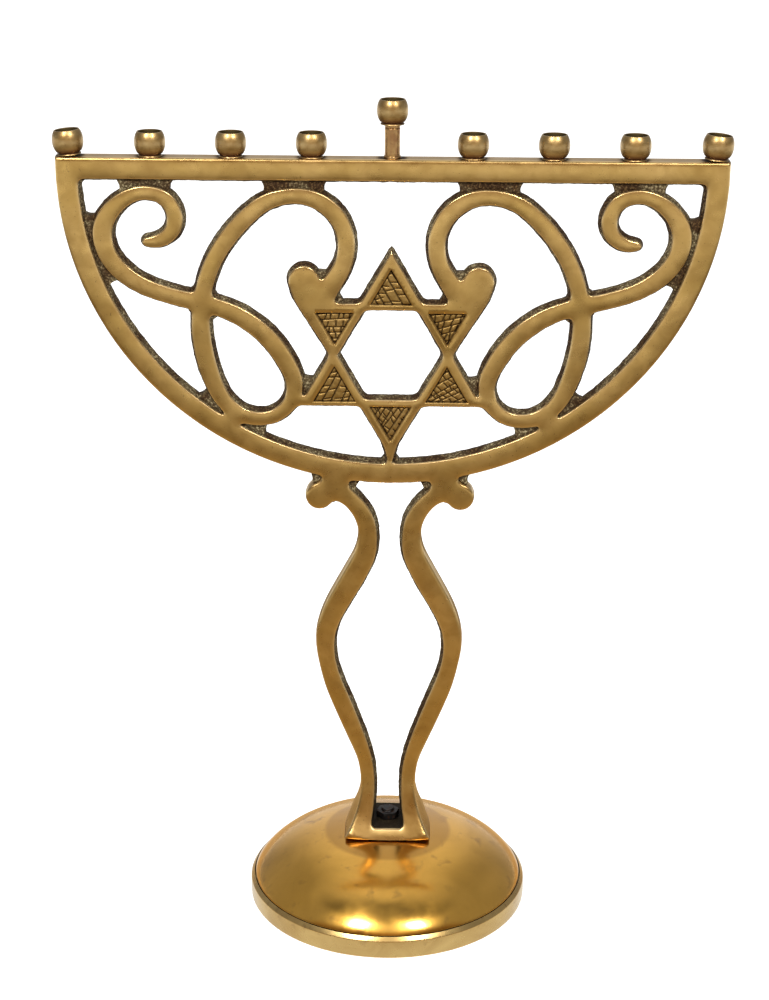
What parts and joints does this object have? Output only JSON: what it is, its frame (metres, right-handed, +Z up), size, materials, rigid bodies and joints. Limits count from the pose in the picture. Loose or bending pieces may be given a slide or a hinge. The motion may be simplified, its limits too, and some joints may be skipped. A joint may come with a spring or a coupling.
{
  "type": "menorah",
  "caption": "Brass Hanukkah lamp with a semicircular openwork frame of scrolls round a six-pointed star, a two-legged stem, candle cups along the bar and a round domed base.",
  "frame": {"origin": "centre of the base ring, on the surface it stands on", "axes": "+Z up through the stem to the raised cup, +X along the bar to the right seen from the front, -Y towards the viewer (the face with the sunk star panels)"},
  "size_m": [0.3032, 0.136, 0.394],
  "materials": {
    "frame_brass": "satin hand-polished faces, dark rough cast sides",
    "cup_brass": "turned and polished, lightly tarnished",
    "post_brass": "turned, brown patina",
    "dome_brass": "spun and polished, amber patina",
    "ring_brass": "turned, satin",
    "screw_steel": "plain, darkened",
    "black_steel": "blackened"
  },
  "bodies": {
    "root": {"frame_casting": "frame_brass", "candle_cup_1": "cup_brass", "candle_cup_2": "cup_brass", "candle_cup_3": "cup_brass", "candle_cup_4": "cup_brass", "candle_cup_5": "cup_brass", "candle_cup_6": "cup_brass", "candle_cup_7": "cup_brass", "candle_cup_8": "cup_brass", "cup_screws": "screw_steel", "shamash_post": "post_brass", "shamash_cup": "cup_brass", "shamash_screw": "screw_steel", "base_dome": "dome_brass", "base_ring": "ring_brass", "base_bolt": "black_steel", "base_washer": "black_steel", "base_nut": "black_steel"}
  },
  "joints": []
}
